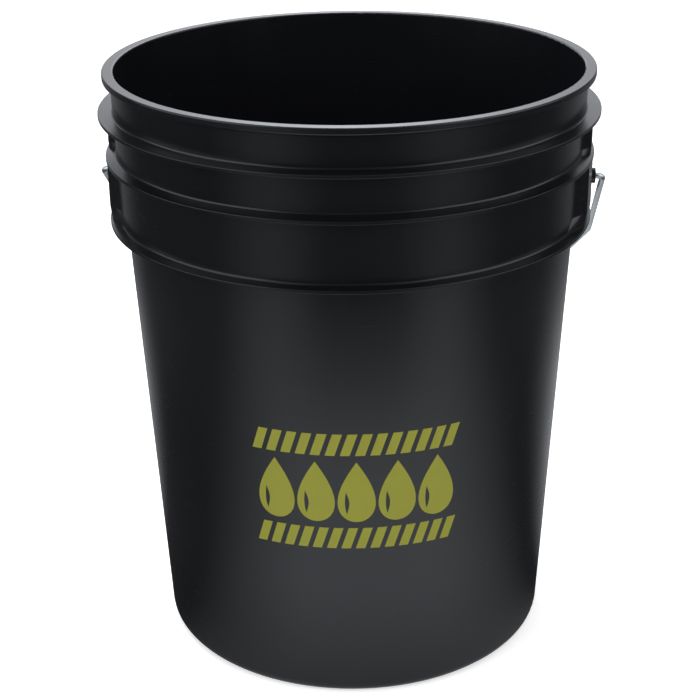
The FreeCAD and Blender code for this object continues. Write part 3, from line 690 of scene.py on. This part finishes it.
# Square softboxes: name, bearing from the front in degrees, distance and height in metres, and
# power in watts.
SOFTBOXES = (
    ("softbox_left", -45, 1.9, 1.3, 13),
    ("softbox_right", 50, 1.9, 1.3, 10),
    ("softbox_above", -150, 0.35, 1.6, 24),
)
SOFTBOX_SIZE = 1.0
FLOOR_SIZE = 12
# The floor lies this far under the pail's foot, so that the two do not share a plane.
FLOOR_DROP = 0.05 * MM


def add_softbox(name, turn, distance, height, power, aim):
    """A square area lamp at this bearing from the front, pointed at a place."""
    data = bpy.data.lights.new(name, "AREA")
    data.shape = "SQUARE"
    data.size = SOFTBOX_SIZE
    data.energy = power
    lamp = bpy.data.objects.new(name, data)
    # The floor and the world already stand for the studio in glossy pieces.
    lamp.visible_glossy = False
    lamp.location = (distance * math.sin(turn), -distance * math.cos(turn), height)
    lamp.rotation_euler = (aim - lamp.location).to_track_quat("-Z", "Y").to_euler()
    bpy.context.scene.collection.objects.link(lamp)


def place_camera(settings):
    """The camera on its arm round the aim point."""
    data = bpy.data.cameras.new("camera")
    data.lens = settings.lens
    data.shift_x = settings.shift_x
    data.shift_y = settings.shift_y
    camera = bpy.data.objects.new("camera", data)
    aim = Matrix.Translation((0, 0, settings.aim_height))
    swing = Matrix.Rotation(settings.camera_turn, 4, "Z")
    tilt = Euler((math.pi / 2 - settings.camera_rise, 0, 0)).to_matrix().to_4x4()
    arm = Matrix.Translation((0, 0, settings.camera_distance))
    roll = Matrix.Rotation(settings.camera_roll, 4, "Z")
    camera.matrix_world = aim @ swing @ tilt @ arm @ roll
    bpy.context.scene.collection.objects.link(camera)
    bpy.context.scene.camera = camera


class BUCKET_OT_set_stage(bpy.types.Operator):
    """Set the floor, the lamps and the camera"""
    bl_idname = "bucket.set_stage"
    bl_label = "Set Stage"

    def execute(self, context):
        settings = context.scene.bucket_stage
        context.scene.view_settings.view_transform = "Standard"
        bpy.ops.mesh.primitive_plane_add(size=FLOOR_SIZE, location=(0, 0, -FLOOR_DROP))
        floor = context.object
        floor.name = "floor"
        give_material(floor, studio_floor(settings.floor_colour))
        light_world()
        middle = Vector((0, 0, PAIL_TOP / 2))
        for name, degrees, distance, height, power in SOFTBOXES:
            add_softbox(name, math.radians(degrees), distance, height, power, middle)
        place_camera(settings)
        return {"FINISHED"}


class BUCKET_PT_tools(bpy.types.Panel):
    """Wash bucket tools"""
    bl_idname = "BUCKET_PT_tools"
    bl_label = "Wash Bucket"
    bl_space_type = "VIEW_3D"
    bl_region_type = "UI"
    bl_category = "Wash Bucket"

    def draw(self, context):
        for operator in OPERATORS:
            self.layout.operator(operator.bl_idname)
        for name in SETTINGS:
            group = getattr(context.scene, name)
            box = self.layout.box()
            for item in group.bl_rna.properties:
                if item.identifier not in ("rna_type", "name"):
                    box.prop(group, item.identifier)


SETTINGS = {
    "bucket_finish": BucketFinish,
    "bucket_print": BucketPrint,
    "bucket_stage": BucketStage,
}
OPERATORS = (
    BUCKET_OT_finish_pail, BUCKET_OT_finish_bail, BUCKET_OT_finish_grip,
    BUCKET_OT_print_decoration, BUCKET_OT_set_stage)


def register():
    for group in SETTINGS.values():
        bpy.utils.register_class(group)
    for name, group in SETTINGS.items():
        setattr(bpy.types.Scene, name, PointerProperty(type=group))
    for item in (*OPERATORS, BUCKET_PT_tools):
        bpy.utils.register_class(item)


def unregister():
    for item in (BUCKET_PT_tools, *reversed(OPERATORS)):
        bpy.utils.unregister_class(item)
    for name in SETTINGS:
        delattr(bpy.types.Scene, name)
    for group in SETTINGS.values():
        bpy.utils.unregister_class(group)


def main():
    register()
    bpy.ops.bucket.set_stage()
    bpy.ops.bucket.finish_pail()
    bpy.ops.bucket.finish_bail()
    bpy.ops.bucket.finish_grip()
    bpy.ops.bucket.print_decoration()


if __name__ == "__main__":
    main()
